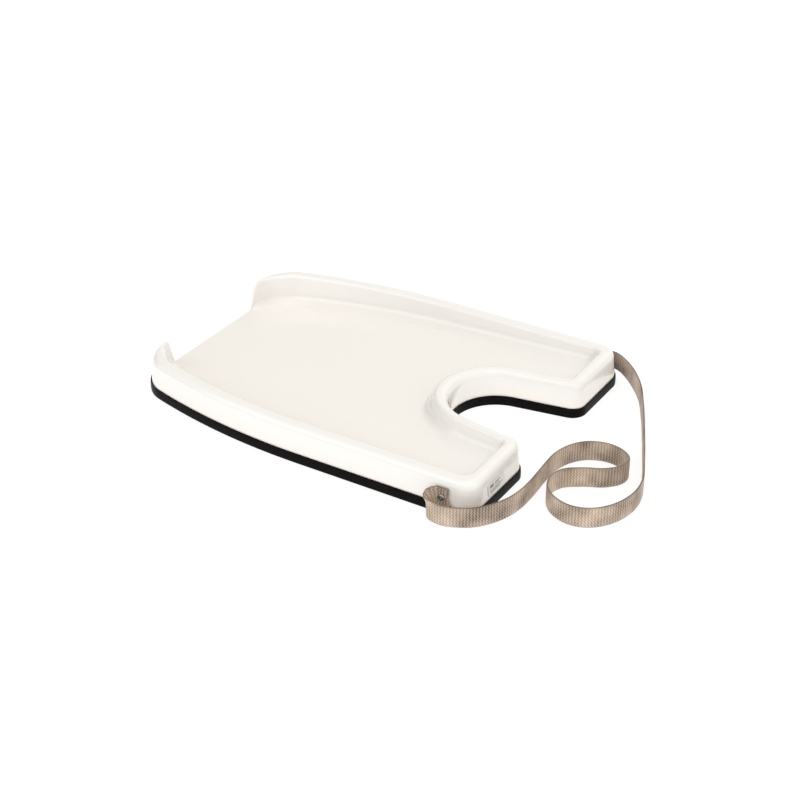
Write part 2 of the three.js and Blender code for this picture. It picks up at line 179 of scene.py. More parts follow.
add_floor()
add_surround((
    ((0, 0, 1), 0.42, (1.0, 1.0, 1.0)),
    ((1, -0.15, 0.12), 0.7, (1.0, 1.0, 1.0)),
    ((0, 1, 0.5), 0.95, (1.0, 0.95, 0.87)),
    ((0.30, -0.68, 0.9), 1.0, (1.0, 1.0, 1.0)),
))
add_lamp("key_lamp", (-1.1, -2.1, 1.5), (2.6, 1.8), 13.5, (0.97, 0.985, 1.0))
bpy.context.scene.view_settings.view_transform = "Standard"
print("studio ready")

# %% [markdown]
# ## Building blocks
#
# Most pieces here are lofts: a section is repeated along a path, and neighbouring sections are
# joined with quads. One helper turns a grid of points into a smooth-shaded mesh object.

# %% Mesh helpers
def add_object(name, verts, faces):
    mesh = bpy.data.meshes.new(name)
    mesh.from_pydata([tuple(v) for v in verts], [], faces)
    mesh.validate()
    body = bmesh.new()
    body.from_mesh(mesh)
    bmesh.ops.recalc_face_normals(body, faces=body.faces)
    body.to_mesh(mesh)
    body.free()
    mesh.polygons.foreach_set("use_smooth", [True] * len(mesh.polygons))
    piece = bpy.data.objects.new(name, mesh)
    bpy.context.scene.collection.objects.link(piece)
    print(f"{name}: {len(mesh.vertices)} points, {len(mesh.polygons)} faces")
    return piece


def ring_faces(ring_count, ring_size, closed_path):
    """Quads between neighbouring rings of ring_size points."""
    faces = []
    spans = ring_count if closed_path else ring_count - 1
    for i in range(spans):
        a, b = i * ring_size, ((i + 1) % ring_count) * ring_size
        for j in range(ring_size):
            k = (j + 1) % ring_size
            faces.append((a + j, a + k, b + k, b + j))
    return faces


def mix(a, b, t):
    return a + (b - a) * t


def clamp(value):
    return min(1.0, max(0.0, value))


def ease(t):
    return t * t * (3 - 2 * t)


# %% [markdown]
# ## Sizes
#
# Sheet goods are easiest to think about in millimetres. Overall sizes are read from the frame, so
# this model follows the CAD, and the section sizes below are the ones that a drawing of the rim
# would show. An "inset" is always a distance inwards from the outer face of the rubber trim.

# %% Sizes
NECK_X, SIDE_Y = trim_high.x, trim_high.y
SPOUT_X = trim_low.x
RIM_HEIGHT = shell_high.z

SIDE_BEND_X, SIDE_BEND_RADIUS = 12 * MM, 800 * MM
SPOUT_CORNER, NECK_CORNER, PRONG_CORNER = 50 * MM, 25 * MM, 19 * MM
CUTOUT_DEPTH, CUTOUT_RADIUS, CUTOUT_FLARE = 124.5 * MM, 53 * MM, math.radians(9.4)

SHEET = 3 * MM
FIT_GAP = 0.3 * MM
TRIM_WALL, TRIM_HEIGHT, TRIM_INNER_HEIGHT = 1.7 * MM, 12 * MM, 10 * MM
BAND_HEIGHT, WALL_DRAFT = 12.5 * MM, 1.8 * MM
SHOULDER_HEIGHT, SHOULDER_WIDTH = 33.5 * MM, 8.2 * MM
RIM_TOP_WIDTH, RIM_INNER_RADIUS, INNER_DRAFT = 4 * MM, 5.5 * MM, 1.5 * MM
BASIN_FILLET = 12 * MM
RIM_CORNER, PRONG_RIM_CORNER, SPOUT_RIM_CORNER = 14 * MM, 10 * MM, 20 * MM
SIDE_WIDTH, ROOT_WIDTH = 0.78, 1.05

SPOUT_FLOOR, FLOOR_FALL = 6 * MM, 20 * MM
HORN_FOOT, HORN_RISE = 26.5 * MM, 19 * MM
CLIMB_FOOT, CLIMB_CROWN = 2, 3.8
HORN_DIP, DIP_START, DIP_END = 0.066, 16 * MM, 85 * MM
HOLLOW_START, HOLLOW_RISE = 17 * MM, 22 * MM
LEAST_HOLLOW, FILLET_SHARE = 0.03, 0.8
HORN_TIP, HORN_TAPER = 0.12, 65 * MM

WALL_FACE = SHEET_BOTTOM = TRIM_WALL + FIT_GAP
CREST_START = WALL_FACE + WALL_DRAFT + SHOULDER_WIDTH
CREST_END = CREST_START + RIM_TOP_WIDTH
INNER_BASE = CREST_END + RIM_INNER_RADIUS + INNER_DRAFT
SHOULDER_RISE = RIM_HEIGHT - SHOULDER_HEIGHT
INNER_TOP_HEIGHT = RIM_HEIGHT - RIM_INNER_RADIUS
CUTOUT_CENTRE_X = NECK_X - CUTOUT_DEPTH + CUTOUT_RADIUS
FLOOR_END_X = NECK_X - INNER_BASE
HORN_BASE = INNER_BASE - WALL_FACE - 2 * SHEET
print("rim width, mm:", round((INNER_BASE - WALL_FACE) / MM, 1))

# %% [markdown]
# ## Outline of the tray
#
# Seen from above, half of the outline is a chain of arcs: the spout corner, a long gentle bow down
# the side, the neck corner, the rounded end of the prong, and the root of the cut-out. Each place on
# it is named by its stretch and a number from 0 to 1, so the same place can be asked for at any
# inset. That is how the rim, the wall and the trim all keep parallel to each other.

# %% Outline
STRETCHES = (("spout_corner", 18), ("side_arc", 26), ("neck_corner", 14), ("prong_corner", 14),
             ("root", 30))
LIP_STATIONS, HORN_STATIONS, HORN_END = 8, 30, 0.96
RADIUS_LOSS = 0.4    # how fast a corner tightens once it is inside the rim


def corner_radius(radius, least, inset):
    return max(radius - inset, least - RADIUS_LOSS * max(0.0, inset - INNER_BASE))


def on_arc(x, y, radius, angle):
    return x + radius * math.cos(angle), y + radius * math.sin(angle)


def spout_corner(inset):
    """Centre, radius and end angle of the arc that joins the straight end to the bowed side."""
    radius = corner_radius(SPOUT_CORNER, SPOUT_RIM_CORNER, inset)
    x = SPOUT_X + inset + radius
    reach = SIDE_BEND_RADIUS - inset - radius
    y = BOW_Y + math.sqrt(reach ** 2 - (x - SIDE_BEND_X) ** 2)
    return x, y, radius, math.atan2(y - BOW_Y, x - SIDE_BEND_X)


BOW_Y = SIDE_Y - SIDE_BEND_RADIUS
LIP_HALF_WIDTH = spout_corner(0)[1] - HORN_FOOT


def half_stations():
    stations = [("lip", y) for y in np.linspace(0, LIP_HALF_WIDTH, LIP_STATIONS)[:-1]]
    stations += [("lip", LIP_HALF_WIDTH + t * HORN_FOOT)
                 for t in np.linspace(0, HORN_END, HORN_STATIONS)]
    for stretch, count in STRETCHES:
        first = 1 if stretch == "side_arc" else 0
        stations += [(stretch, i / count) for i in range(first, count + 1)]
    return stations


def point_at(station, inset):
    stretch, t = station
    spout_x, spout_y, spout_r, bow_angle = spout_corner(inset)
    if stretch == "lip":
        return SPOUT_X + inset, t
    if stretch == "spout_corner":
        return on_arc(spout_x, spout_y, spout_r, mix(math.pi, bow_angle, t))
    if stretch == "side_arc":
        angle = mix(bow_angle, math.pi / 2, t)
        return on_arc(SIDE_BEND_X, BOW_Y, SIDE_BEND_RADIUS - inset, angle)
    if stretch == "neck_corner":
        r = corner_radius(NECK_CORNER, RIM_CORNER, inset)
        return on_arc(NECK_X - inset - r, SIDE_Y - inset - r, r, mix(math.pi / 2, 0, t))
    if stretch == "prong_corner":
        r = corner_radius(PRONG_CORNER, PRONG_RIM_CORNER, inset)
        x = NECK_X - inset - r
        arm = CUTOUT_RADIUS + inset + r + (x - CUTOUT_CENTRE_X) * math.sin(CUTOUT_FLARE)
        return on_arc(x, arm / math.cos(CUTOUT_FLARE), r, mix(0, CUTOUT_FLARE - math.pi / 2, t))
    angle = mix(math.pi / 2 + CUTOUT_FLARE, math.pi, t)
    return on_arc(CUTOUT_CENTRE_X, 0, CUTOUT_RADIUS + inset, angle)


print("stations on one half:", len(half_stations()))

# %% [markdown]
# ## Section of the rim
#
# Cut across the rim and the sheet shows one long bend: up the outer wall, over a broad soft
# shoulder, across the flat top, over a tighter curve and down a generous fillet into the floor.
# The underside is the same bend, one sheet thickness in. Towards the spout the rim sinks into the
# floor, which makes the two horns beside the lip.

# %% Section
SHOULDER_STEPS, INNER_STEPS, FILLET_STEPS = 12, 8, 10
UNDER_STEPS, UNDER_INNER_STEPS = 6, 4    # the underside is seen less


def quarter(steps):
    return [math.pi / 2 * i / steps for i in range(steps + 1)]


def floor_height(x):
    return SPOUT_FLOOR + FLOOR_FALL * clamp((x - SPOUT_X) / (FLOOR_END_X - SPOUT_X))


def climb(distance, length):
    return 1 - (1 - clamp(distance / length) ** CLIMB_FOOT) ** CLIMB_CROWN


def past_lip(station):
    """Distance past the end of the lip, measured across the tray."""
    stretch, t = station
    if stretch == "lip":
        return t - LIP_HALF_WIDTH
    if stretch in ("spout_corner", "side_arc"):
        return point_at(station, WALL_FACE)[1] - LIP_HALF_WIDTH
    return 1.0


def rim_width(station):
    stretch, t = station
    if stretch == "prong_corner":
        return mix(1, SIDE_WIDTH, t)
    if stretch == "root":
        return mix(SIDE_WIDTH, ROOT_WIDTH, ease(t))
    return mix(HORN_TIP, 1, ease(clamp(past_lip(station) / HORN_TAPER)))


def top_section(fillet):
    """Rows of (kind, inset, height): "z" from the table, "inner" on the inner wall, or "floor"."""
    rows = [("z", WALL_FACE, SHEET_BOTTOM), ("z", WALL_FACE, BAND_HEIGHT)]
    rows += [("z", CREST_START - SHOULDER_WIDTH * math.cos(a),
              SHOULDER_HEIGHT + SHOULDER_RISE * math.sin(a)) for a in quarter(SHOULDER_STEPS)]
    rows += [("inner", CREST_END + RIM_INNER_RADIUS * math.sin(a),
              INNER_TOP_HEIGHT + RIM_INNER_RADIUS * math.cos(a)) for a in quarter(INNER_STEPS)]
    rows += [("floor", INNER_BASE + fillet * (1 - math.cos(a)),
              fillet * (1 - math.sin(a))) for a in quarter(FILLET_STEPS)]
    return rows


def under_section(fillet):
    far = fillet + SHEET
    rows = [("floor", INNER_BASE + fillet - far * math.cos(a),
             far - far * math.sin(a)) for a in reversed(quarter(UNDER_STEPS))]
    rows += [("inner", CREST_END + (RIM_INNER_RADIUS - SHEET) * math.sin(a),
              INNER_TOP_HEIGHT + (RIM_INNER_RADIUS - SHEET) * math.cos(a))
             for a in reversed(quarter(UNDER_INNER_STEPS))]
    rows += [("z", CREST_START - (SHOULDER_WIDTH - SHEET) * math.cos(a),
              SHOULDER_HEIGHT + (SHOULDER_RISE - SHEET) * math.sin(a))
             for a in reversed(quarter(UNDER_STEPS))]
    rows += [("z", WALL_FACE + SHEET, BAND_HEIGHT), ("z", WALL_FACE + SHEET, SHEET_BOTTOM)]
    return rows


def place_row(station, row, edge, share, level, thickness):
    kind, inset, height = row
    past = inset - edge
    whole = min(past, INNER_BASE - edge) if kind == "floor" else past
    x, y = point_at(station, edge + whole * share + (past - whole))
    floor = floor_height(x) - thickness
    crest = mix(floor, RIM_HEIGHT - thickness, level)
    if kind == "floor":
        return x, y, floor + height * level
    if kind == "inner":
        return x, y, mix(floor, height, level)
    if level < 1:
        height = mix(SHEET_BOTTOM, height,
                     (crest - SHEET_BOTTOM) / (RIM_HEIGHT - thickness - SHEET_BOTTOM))
    return x, y, height


def section_at(station):
    width = rim_width(station)
    base_x = point_at(station, INNER_BASE * width)[0]
    fillet = min(BASIN_FILLET, FILLET_SHARE * (INNER_TOP_HEIGHT - floor_height(base_x)))
    distance = past_lip(station)
    dip = HORN_DIP * (1 - ease(clamp((distance - DIP_START) / (DIP_END - DIP_START))))
    rise = climb(distance, HORN_RISE) * (1 - dip)
    hollow = climb(distance - HOLLOW_START, HOLLOW_RISE)
    hollow_width = max(LEAST_HOLLOW, ((INNER_BASE - WALL_FACE) * width - 2 * SHEET) / HORN_BASE)
    points = [place_row(station, row, WALL_FACE, width, rise, 0) for row in top_section(fillet)]
    points += [place_row(station, row, WALL_FACE + SHEET, hollow_width, hollow, SHEET)
               for row in under_section(fillet)]
    return points


def both_halves(half):
    """Rings of the left half, then the same rings mirrored for the right half, coming back."""
    return half + [[(x, -y, z) for x, y, z in ring] for ring in half[-2:0:-1]]


# %% [markdown]
# ## Rivets: where they sit
#
# The strap lies against the wall at its top edge and over the trim at its bottom edge, so each
# riveted end leans in by a few degrees. The rivet stands square to the strap. Its parts are turned
# shapes: a profile spun round an axis, then tipped over and moved to the side of the tray.

# %% Turned parts
RIVET_X, RIVET_Z = 199.3 * MM, 20.5 * MM
WEB_WIDTH, WEB_THICKNESS = 25 * MM, 2 * MM


def wall_at(z):
    return WALL_FACE + WALL_DRAFT * (z - BAND_HEIGHT) / (SHOULDER_HEIGHT - BAND_HEIGHT)


TAB_TOP = RIVET_Z + WEB_WIDTH / 2
TAB_LEAN = math.atan((wall_at(TAB_TOP) - 2 * FIT_GAP) / (TAB_TOP - TRIM_HEIGHT))
TAB_Y = (SIDE_Y + FIT_GAP - (RIVET_Z - TRIM_HEIGHT) * math.tan(TAB_LEAN)
         + WEB_THICKNESS / 2 / math.cos(TAB_LEAN))
SIDES = (("right", -1), ("left", 1))
TURN_STEPS = 56
HOLE_RADIUS, HOLE_REACH, HOLE_STEPS = 2.7 * MM, (-14 * MM, 8 * MM), 40


def side_matrix(side):
    turn = Matrix.Rotation(-side * (math.pi / 2 - TAB_LEAN), 4, "X")
    return Matrix.Translation((RIVET_X, side * TAB_Y, RIVET_Z)) @ turn


def add_turned(name, profile, side, steps=TURN_STEPS):
    """A ring-shaped or solid body from a closed profile of (radius, height) pairs."""
    verts, rows = [], []
    for radius, height in profile:
        if radius == 0:
            rows.append([len(verts)] * steps)
            verts.append((0, 0, height))
            continue
        rows.append(list(range(len(verts), len(verts) + steps)))
        verts += [(radius * math.cos(a), radius * math.sin(a), height)
                  for a in (2 * math.pi * i / steps for i in range(steps))]
    faces = []
    for row, after in zip(rows, rows[1:] + rows[:1]):
        for i in range(steps):
            k = (i + 1) % steps
            corners = [row[i], row[k], after[k], after[i]]
            corners = [c for n, c in enumerate(corners) if c not in corners[:n]]
            if len(corners) > 2:
                faces.append(corners)
    piece = add_object(name, verts, faces)
    piece.data.transform(side_matrix(side))
    return piece


def flatten_shading(piece):
    """Keeps broad flat faces flat where they meet a small rounding."""
    modifier = piece.modifiers.new("weighted_normals", "WEIGHTED_NORMAL")
    modifier.mode = "FACE_AREA"
    modifier.weight = 80


def drill(piece):
    """Cuts the two rivet holes right through a piece and keeps the result as its mesh."""
    for _, side in SIDES:
        back, front = HOLE_REACH
        profile = [(0, back), (HOLE_RADIUS, back), (HOLE_RADIUS, front), (0, front)]
        tool = add_turned("drill", profile, side, HOLE_STEPS)
        cut = piece.modifiers.new("hole", "BOOLEAN")
        cut.operation, cut.solver, cut.object = "DIFFERENCE", "EXACT", tool
        graph = bpy.context.evaluated_depsgraph_get()
        result = bpy.data.meshes.new_from_object(piece.evaluated_get(graph))
        piece.modifiers.clear()
        piece.data = result
        bpy.data.objects.remove(tool)
    result.name = piece.name
    result.polygons.foreach_set("use_smooth", [True] * len(result.polygons))


# %% [markdown]
# ## The shell
#
# Now the sections are strung along the outline. The basin floor is left out of the loft and added
# as one flat face above and one below, because nothing on it needs more detail than its material.

# %% Shell
def build_shell():
    sections = both_halves([section_at(station) for station in half_stations()])
    size = len(sections[0])
    edge = len(top_section(BASIN_FILLET)) - 1
    count = len(sections)
    verts = [point for section in sections for point in section]
    faces = [face for n, face in enumerate(ring_faces(count, size, True)) if n % size != edge]
    faces.append([i * size + edge for i in range(count)])
    faces.append([i * size + edge + 1 for i in reversed(range(count))])
    shell = add_object("shell", verts, faces)
    drill(shell)
    flatten_shading(shell)
    return shell


shell = build_shell()
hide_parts("tray_shell")
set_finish(shell, "shell_plastic")
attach(shell, "root")

# %% [markdown]
# ## Rubber trim
#
# The trim is a soft U-channel pushed on to the raw edge of the sheet. Extruded rubber never has
# sharp corners, and its outer face bulges a little, which is what gives it a soft grey line of
# light along its lower half. It runs all the way round apart from the lip.

# %% Trim
TRIM_EDGE = 0.55 * MM
TRIM_BULGE = 0.35 * MM
TRIM_DRAFT = 0.35 * MM
SOFT_ANGLE = math.radians(150)    # a blunter corner than this needs no rounding


def trim_section():
    inner = WALL_FACE + SHEET + FIT_GAP
    outer = [(TRIM_BULGE * (2 * t - 1) ** 2 + TRIM_DRAFT * t, t * TRIM_HEIGHT)
             for t in np.linspace(0, 1, 9)]
    rest = [(TRIM_WALL, TRIM_HEIGHT), (TRIM_WALL, TRIM_WALL), (inner, TRIM_WALL),
            (inner, TRIM_INNER_HEIGHT), (inner + TRIM_WALL, TRIM_INNER_HEIGHT),
            (inner + TRIM_WALL, 0)]
    corners = [Vector(p) for p in outer + rest]
    points = []
    for i, here in enumerate(corners):
        before, after = corners[i - 1] - here, corners[(i + 1) % len(corners)] - here
        if before.angle(after) > SOFT_ANGLE:
            points.append(here)
            continue
        reach = min(TRIM_EDGE, before.length / 2.1, after.length / 2.1)
        start, end = here + before.normalized() * reach, here + after.normalized() * reach
        for t in (0, 0.25, 0.5, 0.75, 1):
            points.append(start.lerp(here, t).lerp(here.lerp(end, t), t))
    return points


def build_trim():
    half = [station for station in half_stations() if station[0] != "lip"]
    section = trim_section()
    rings = [[(*point_at(station, inset), z) for inset, z in section] for station in half]
    rings += [[(x, -y, z) for x, y, z in ring] for ring in rings[-2::-1]]
    size = len(section)
    faces = ring_faces(len(rings), size, False)
    faces += [list(range(size)), [(len(rings) - 1) * size + i for i in reversed(range(size))]]
    return add_object("trim", [p for ring in rings for p in ring], faces)


trim = build_trim()
flatten_shading(trim)
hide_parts("edge_trim")
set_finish(trim, "trim_rubber")
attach(trim, "root")

# %% [markdown]
# ## Strap: its route
#
# The strap is stiff enough to stand on its edge. From the right rivet it runs back along the wall,
# folds over itself, snakes over the table in two loops and comes round the neck end to the left
# rivet. The route is a list of given points, with one smooth curve through them. Webbing bends
# easily one way and hardly at all the other way, so its width stays upright, apart from the
# two riveted ends, which lean with the wall.

# %% Strap route
TAB_X = RIVET_X - 5.5 * MM
STANDING = WEB_WIDTH / 2 + FIT_GAP
STRAP_ROUTE = [
    (RIVET_X + 0.0075, -TAB_Y, RIVET_Z), (TAB_X + 0.001, -TAB_Y, RIVET_Z), (TAB_X, -TAB_Y, RIVET_Z),
    (0.1882, -0.1842, 0.0188), (0.1874, -0.1904, 0.0150), (0.1915, -0.1952, STANDING),
    (0.2000, -0.1980, STANDING), (0.2110, -0.1986, STANDING), (0.2220, -0.1950, STANDING),
    (0.2385, -0.1855, STANDING), (0.2510, -0.1710, STANDING), (0.2615, -0.1490, STANDING),
    (0.2654, -0.1280, STANDING), (0.2658, -0.1040, STANDING), (0.2636, -0.0700, STANDING),
    (0.2634, -0.0450, STANDING), (0.2700, -0.0220, STANDING), (0.2830, -0.0060, STANDING),
    (0.3030, 0.0018, STANDING), (0.3230, -0.0015, STANDING), (0.3365, -0.0130, STANDING),
    (0.3366, -0.0290, STANDING), (0.3240, -0.0445, STANDING), (0.3010, -0.0570, STANDING),
    (0.2850, -0.0700, STANDING), (0.2800, -0.0860, STANDING), (0.2840, -0.1040, STANDING),
    (0.2980, -0.1195, STANDING), (0.3210, -0.1275, STANDING), (0.3420, -0.1220, STANDING),
    (0.3590, -0.1040, STANDING), (0.3685, -0.0760, STANDING), (0.3670, -0.0460, STANDING),
    (0.3510, -0.0060, STANDING), (0.3280, 0.0440, STANDING), (0.3010, 0.1000, STANDING + 0.0003),
    (0.2770, 0.1420, 0.0144), (0.2520, 0.1665, 0.0192), (0.2310, 0.1788, 0.0214),
    (0.2140, TAB_Y + 0.0003, 0.0210), (RIVET_X + 0.007, TAB_Y, RIVET_Z), (RIVET_X, TAB_Y, RIVET_Z),
    (RIVET_X - 0.009, TAB_Y, RIVET_Z),
]


def smooth_curve(points, per_span=40):
    """A centripetal Catmull-Rom curve: it passes through every point and never loops between."""
    p = np.array(points)
    p = np.vstack([2 * p[0] - p[1], p, 2 * p[-1] - p[-2]])
    gaps = np.sqrt(np.linalg.norm(np.diff(p, axis=0), axis=1))
    t = np.linspace(0, 1, per_span, endpoint=False)[:, None]
    out = []
    for i in range(1, len(p) - 2):
        d0, d1, d2 = gaps[i - 1:i + 2]
        first = (p[i] - p[i - 1]) / d0 - (p[i + 1] - p[i - 1]) / (d0 + d1) + (p[i + 1] - p[i]) / d1
        last = (p[i + 1] - p[i]) / d1 - (p[i + 2] - p[i]) / (d1 + d2) + (p[i + 2] - p[i + 1]) / d2
        first, last = first * d1, last * d1
        a = 2 * p[i] - 2 * p[i + 1] + first + last
        b = 3 * p[i + 1] - 3 * p[i] - 2 * first - last
        out.append(a * t ** 3 + b * t ** 2 + first * t + p[i])
    return np.vstack([*out, p[-2]])


def spaced(points, gap):
    """Points an even distance along a line, and the line's length."""
    along = np.concatenate([[0], np.cumsum(np.linalg.norm(np.diff(points, axis=0), axis=1))])
    marks = np.linspace(0, along[-1], int(round(along[-1] / gap)) + 1)
    return np.stack([np.interp(marks, along, points[:, k]) for k in range(3)], axis=1), along[-1]


STRAP_STEP = 0.55 * MM
strap_line, STRAP_LENGTH = spaced(smooth_curve(STRAP_ROUTE), STRAP_STEP)
print("strap length, mm:", round(STRAP_LENGTH / MM, 1))

# %% [markdown]
# ## Strap: the webbing
#
# Heavy webbing shows cross ribs where the weft passes under, and the same ribs make its edges
# slightly saw-toothed. Both are real geometry here, because they change the outline. The finer
# basket weave between the ribs is left to the material, which needs to know where it is on the
# strap: a UV map gives it the distance along and across in metres.

# %% Strap
RIB_PITCH = 3.4 * MM
RIB_DEPTH = 0.16
EDGE_TOOTH = 0.3 * MM
END_SLANT = 4 * MM
ACROSS = 20
NEAR_LEAN, FAR_LEAN = (17 * MM, 24 * MM), (24 * MM, 60 * MM)    # full lean up to, then fading over


def strap_outline():
    """(across, through) pairs round the section, each from -1 to 1."""
    face = [(u, 1.0) for u in np.linspace(-0.94, 0.94, ACROSS)]
    edge = [(0.985, 0.72), (1.0, 0.0), (0.985, -0.72)]
    return face + edge + [(-u, -v) for u, v in face] + [(-u, -v) for u, v in edge]


def strap_lean(along):
    near = 1 - ease(clamp((along - NEAR_LEAN[0]) / NEAR_LEAN[1]))
    far = 1 - ease(clamp((STRAP_LENGTH - along - FAR_LEAN[0]) / FAR_LEAN[1]))
    return TAB_LEAN * (near - far)


def build_strap():
    count = len(strap_line)
    tangents = np.gradient(strap_line, axis=0)
    outline = np.array(strap_outline())
    verts, uvs = [], []
    for i, (middle, tangent) in enumerate(zip(strap_line, tangents)):
        s = STRAP_LENGTH * i / (count - 1)
        along = Vector(tangent).normalized()
        level = Vector((along.x, along.y, 0)).normalized()
        lean = strap_lean(s)
        up = Vector((0, 0, math.cos(lean))) + Vector((level.y, -level.x, 0)) * math.sin(lean)
        up = (up - along * up.dot(along)).normalized()
        normal = along.cross(up)
        wave = math.cos(2 * math.pi * s / RIB_PITCH)
        half = WEB_WIDTH / 2 - EDGE_TOOTH * (0.5 - 0.5 * wave)
        thick = WEB_THICKNESS / 2 * (1 - RIB_DEPTH * (0.5 - 0.5 * wave))
        slant = END_SLANT * (i == 0) - END_SLANT * (i == count - 1)
        for u, v in outline:
            verts.append(Vector(middle) + up * u * half + normal * v * thick + along * slant * u)
            uvs.append((s, u * half))
    size = len(outline)
    faces = ring_faces(count, size, False)
    faces += [list(range(size)), [(count - 1) * size + i for i in reversed(range(size))]]
    piece = add_object("strap", verts, faces)
    layer = piece.data.uv_layers.new(name="weave")
    corners = np.empty(len(piece.data.loops), int)
    piece.data.loops.foreach_get("vertex_index", corners)
    layer.data.foreach_set("uv", np.array(uvs)[corners].ravel())
    return piece


strap = build_strap()
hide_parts("tie_strap")
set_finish(strap, "strap_webbing")
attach(strap, "root")

# %% [markdown]
# ## Rivets, pins and washers
#
# A blind rivet has a domed head on the strap, a tube through the hole and a bulb that is pulled up
# behind. What is left of its pin shows as a bright dot in the middle of the head. Behind the wall a
# washer spreads the load, so that the bulb can't pull through the plastic.

# %% Rivets
SHANK, BORE, HEAD, HEAD_HEIGHT = 2.4 * MM, 1.45 * MM, 4.5 * MM, 1.6 * MM
BULB, SET_LENGTH = 3.5 * MM, 4.5 * MM
WASHER, WASHER_THICKNESS, WASHER_GAP = 6 * MM, 1.2 * MM, 0.7 * MM
STRAP_FACE = WEB_THICKNESS / 2 + FIT_GAP
WALL_INSIDE = (TAB_Y + wall_at(RIVET_Z) + SHEET - SIDE_Y) * math.cos(TAB_LEAN)
WASHER_TOP = -(WALL_INSIDE + WASHER_GAP)
WASHER_BACK = WASHER_TOP - WASHER_THICKNESS
BULB_TOP = WASHER_BACK - FIT_GAP
SET_END = BULB_TOP - SET_LENGTH
HEAD_EDGE, BORE_MOUTH = 0.25 * MM, 0.35 * MM


def dome(radius, base, height, inner, steps=9):
    """The profile of a domed head, from its rim up to the mouth of the bore."""
    points = [(radius, base), (radius, base + HEAD_EDGE)]
    for i in range(1, steps + 1):
        a = math.pi / 2 * i / steps
        r = mix(inner + BORE_MOUTH, radius, math.cos(a))
        points.append((r, base + mix(HEAD_EDGE, height, math.sin(a))))
    return points


def rivet_profile():
    bulb = [(BULB - 1 * MM, SET_END), (BULB - 0.3 * MM, SET_END + 0.3 * MM), (BULB, SET_END + 1 * MM),
            (BULB, BULB_TOP - 1 * MM), (BULB - 0.3 * MM, BULB_TOP - 0.2 * MM),
            (BULB - 0.8 * MM, BULB_TOP)]
    head = dome(HEAD, STRAP_FACE, HEAD_HEIGHT, BORE)
    return ([(BORE, SET_END)] + bulb + [(SHANK, BULB_TOP), (SHANK, STRAP_FACE)] + head
            + [(BORE, STRAP_FACE + HEAD_HEIGHT - BORE_MOUTH)])


def pin_profile():
    stem, top = BORE - FIT_GAP, SET_END - FIT_GAP
    stem_end = STRAP_FACE + HEAD_HEIGHT - 1 * MM
    return [(0, top - 2.4 * MM), (1.4 * MM, top - 2.2 * MM), (2.1 * MM, top - 1.6 * MM),
            (2.3 * MM, top - 1 * MM), (2.3 * MM, top - 0.1 * MM), (2.2 * MM, top), (stem, top),
            (stem, stem_end - 0.15 * MM), (stem - 0.15 * MM, stem_end), (0, stem_end)]


def washer_profile():
    inner, ease_off = SHANK + FIT_GAP, 0.2 * MM
    return [(inner, WASHER_BACK), (WASHER - ease_off, WASHER_BACK), (WASHER, WASHER_BACK + ease_off),
            (WASHER, WASHER_TOP - ease_off), (WASHER - ease_off, WASHER_TOP), (inner, WASHER_TOP)]


metal_pieces = []
for name, side in SIDES:
    for part, profile, slot in (("rivet", rivet_profile(), "rivet_metal"),
                                ("rivet_pin", pin_profile(), "pin_metal"),
                                ("backing_washer", washer_profile(), "washer_metal")):
        piece = add_turned(f"{name}_{part}_fine", profile, side)
        flatten_shading(piece)
        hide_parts(f"{name}_{part}")
        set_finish(piece, slot)
        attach(piece, "root")
        metal_pieces.append(piece)

# %% [markdown]
# ## Label
#
# A small printed film is stuck to the end of the right-hand prong. It gets rounded corners and a
# slightly soft edge. The print is only grey bars: it says nothing.

# %% Label
LABEL_CORNER, LABEL_THICKNESS = 1.5 * MM, 0.3 * MM


def build_label():
    low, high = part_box("info_label")
    length = high.y - low.y
    lean = math.atan(WALL_DRAFT / (SHOULDER_HEIGHT - BAND_HEIGHT))
    height = (high.z - low.z) / math.cos(lean) - 0.4 * MM * math.tan(lean)
    outline = []
    for corner in range(4):
        sy, sz = ((1, 1), (-1, 1), (-1, -1), (1, -1))[corner]
        for i in range(7):
            a = math.pi / 2 * (corner + i / 6)
            outline.append((sy * (length / 2 - LABEL_CORNER) + LABEL_CORNER * math.cos(a),
                            sz * (height / 2 - LABEL_CORNER) + LABEL_CORNER * math.sin(a)))
    rings = []
    for x, inset in ((0, 0), (0.7, 0), (0.95, 0.03), (1, 0.08)):
        rings.append([(x * LABEL_THICKNESS, y * (1 - 2 * inset * MM / length),
                       z * (1 - 2 * inset * MM / height)) for y, z in outline])
    size = len(outline)
    faces = ring_faces(len(rings), size, False)
    faces += [list(range(size)), [(len(rings) - 1) * size + i for i in reversed(range(size))]]
    piece = add_object("label", [p for ring in rings for p in ring], faces)
    layer = piece.data.uv_layers.new(name="print")
    for loop in piece.data.loops:
        co = piece.data.vertices[loop.vertex_index].co
        layer.data[loop.index].uv = (co.y / length + 0.5, co.z / height + 0.5)
    face_x = NECK_X - wall_at((low.z + high.z) / 2) + 0.3 * MM
    turn = Matrix.Rotation(-lean, 4, "Y")
    middle = Vector((face_x, (low.y + high.y) / 2, (low.z + high.z) / 2))
    piece.data.transform(Matrix.Translation(middle) @ turn)
    flatten_shading(piece)
    return piece


label = build_label()
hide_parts("info_label")
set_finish(label, "label_film")
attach(label, "root")

# %% [markdown]
# ## Materials
#
# Nothing in the world has one flat colour. Each material below starts from a plain shader and adds
# small changes at the size they really have. Two helpers keep this short: one adds a node and sets
# its values, the other makes a noise texture in real metres.

# %% Material helpers
def add_node(tree, kind, **values):
    """A node with some of its sockets set. A link is made when the value is another socket."""
    node = tree.nodes.new(kind)
    for name, value in values.items():
        if name in ("operation", "data_type"):
            setattr(node, name, value)
            continue
        socket = node.inputs[int(name[1:])] if name[0] == "i" and name[1:].isdigit() else None
        socket = socket or node.inputs[name.replace("_", " ")]
        if isinstance(value, bpy.types.NodeSocket):
            tree.links.new(value, socket)
        else:
            socket.default_value = value
    return node


